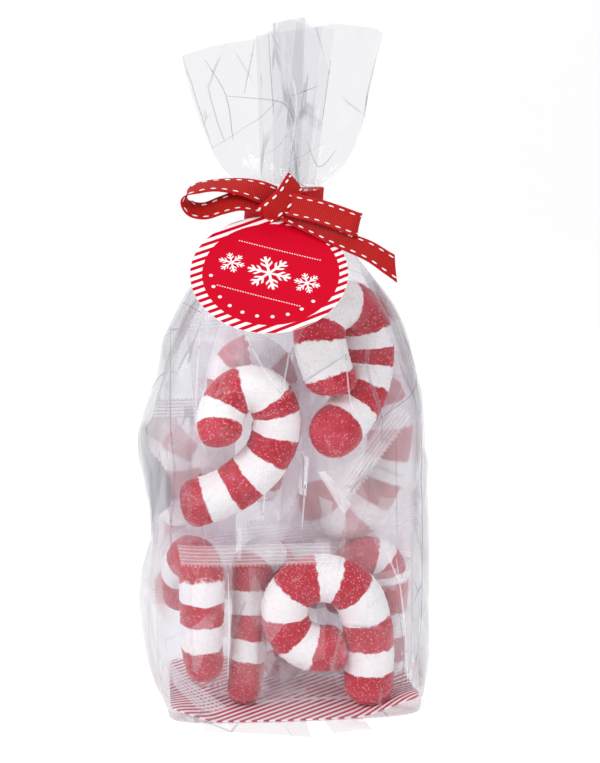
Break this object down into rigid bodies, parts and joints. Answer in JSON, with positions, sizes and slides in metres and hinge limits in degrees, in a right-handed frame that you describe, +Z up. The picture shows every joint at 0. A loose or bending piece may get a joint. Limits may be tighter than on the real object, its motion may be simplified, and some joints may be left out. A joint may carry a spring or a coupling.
{
  "type": "marshmallows in a gift bag",
  "caption": "Striped candy-cane marshmallows in a tall clear gift bag with side gussets, gathered and tied with a stitched ribbon bow that holds a round gift tag.",
  "frame": {"origin": "middle of the bag's flat underside", "axes": "+Z up, the bag's front with the tag towards -Y, +X to the right seen from the front"},
  "size_m": [0.125, 0.1071, 0.2994],
  "materials": {
    "clear_film": "clear glossy film with fine creases over red and white sugared marshmallows",
    "red_ribbon": "ribbed woven ribbon with white stitches along both edges",
    "red_card": "smooth printed card with a striped rim"
  },
  "bodies": {
    "root": {"bag": "clear_film", "ribbon": "red_ribbon", "tag": "red_card"}
  },
  "joints": []
}
